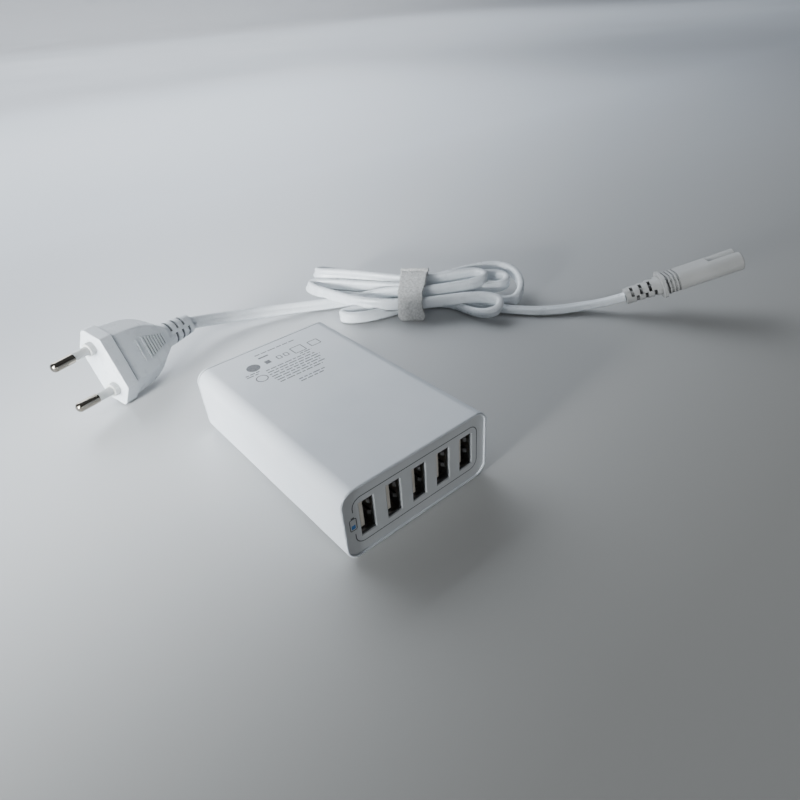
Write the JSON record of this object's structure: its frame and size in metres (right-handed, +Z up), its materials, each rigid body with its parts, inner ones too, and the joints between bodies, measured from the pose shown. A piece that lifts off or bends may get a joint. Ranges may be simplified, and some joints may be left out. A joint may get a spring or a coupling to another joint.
{
  "type": "desktop usb charger with mains lead",
  "caption": "White desktop charger block with a row of upright USB-A ports, and its detached flat mains lead tied in a hank, with a plug and a figure-eight connector.",
  "frame": {"origin": "middle of the block's underside", "axes": "ports face -Y, the block's width runs along X, +Z is up; the lead lies behind at +Y and +X"},
  "size_m": [0.2704, 0.1744, 0.0324],
  "materials": {
    "case_white": "fine satin moulding",
    "port_steel": "plated sheet",
    "port_insulator": "moulded",
    "contact_brass": "plated",
    "inlet_black": "moulded",
    "pin_nickel": "nickel plated",
    "board_green": "solder mask",
    "ferrite": "sintered",
    "winding_tape": "taped",
    "copper_wire": "enamelled wire",
    "part_black": "moulded",
    "capacitor_sleeve": "shrink sleeve",
    "film_yellow": "moulded box",
    "ceramic_blue": "coated disc",
    "sink_aluminium": "cut sheet",
    "lead_white": "soft satin moulding",
    "sleeve_grey": "moulded",
    "tie_fabric": "hook and loop"
  },
  "bodies": {
    "root": {"bridge_rectifier": "part_black", "bulk_capacitor_1": "capacitor_sleeve", "bulk_capacitor_2": "capacitor_sleeve", "connector_body": "lead_white", "connector_contact_1": "contact_brass", "connector_contact_2": "contact_brass", "cord_connector_end": "lead_white", "cord_hank": "lead_white", "cord_plug_end": "lead_white", "cord_tie": "tie_fabric", "front_panel": "case_white", "fuse": "part_black", "housing": "case_white", "inlet_body": "inlet_black", "inlet_pin_1": "pin_nickel", "inlet_pin_2": "pin_nickel", "line_choke_core": "ferrite", "line_choke_winding": "copper_wire", "main_board": "board_green", "output_capacitor_1": "capacitor_sleeve", "output_capacitor_2": "capacitor_sleeve", "output_capacitor_3": "capacitor_sleeve", "output_heat_sink": "sink_aluminium", "plug_body": "lead_white", "plug_pin_1": "pin_nickel", "plug_pin_2": "pin_nickel", "plug_sleeve_1": "sleeve_grey", "plug_sleeve_2": "sleeve_grey", "primary_heat_sink": "sink_aluminium", "rear_cover": "case_white", "switch_transistor": "part_black", "transformer_bobbin": "part_black", "transformer_core": "ferrite", "transformer_winding": "winding_tape", "usb_contacts_1": "contact_brass", "usb_contacts_2": "contact_brass", "usb_contacts_3": "contact_brass", "usb_contacts_4": "contact_brass", "usb_contacts_5": "contact_brass", "usb_shell_1": "port_steel", "usb_shell_2": "port_steel", "usb_shell_3": "port_steel", "usb_shell_4": "port_steel", "usb_shell_5": "port_steel", "usb_tongue_1": "port_insulator", "usb_tongue_2": "port_insulator", "usb_tongue_3": "port_insulator", "usb_tongue_4": "port_insulator", "usb_tongue_5": "port_insulator", "x_capacitor": "film_yellow", "y_capacitor": "ceramic_blue"}
  },
  "joints": []
}
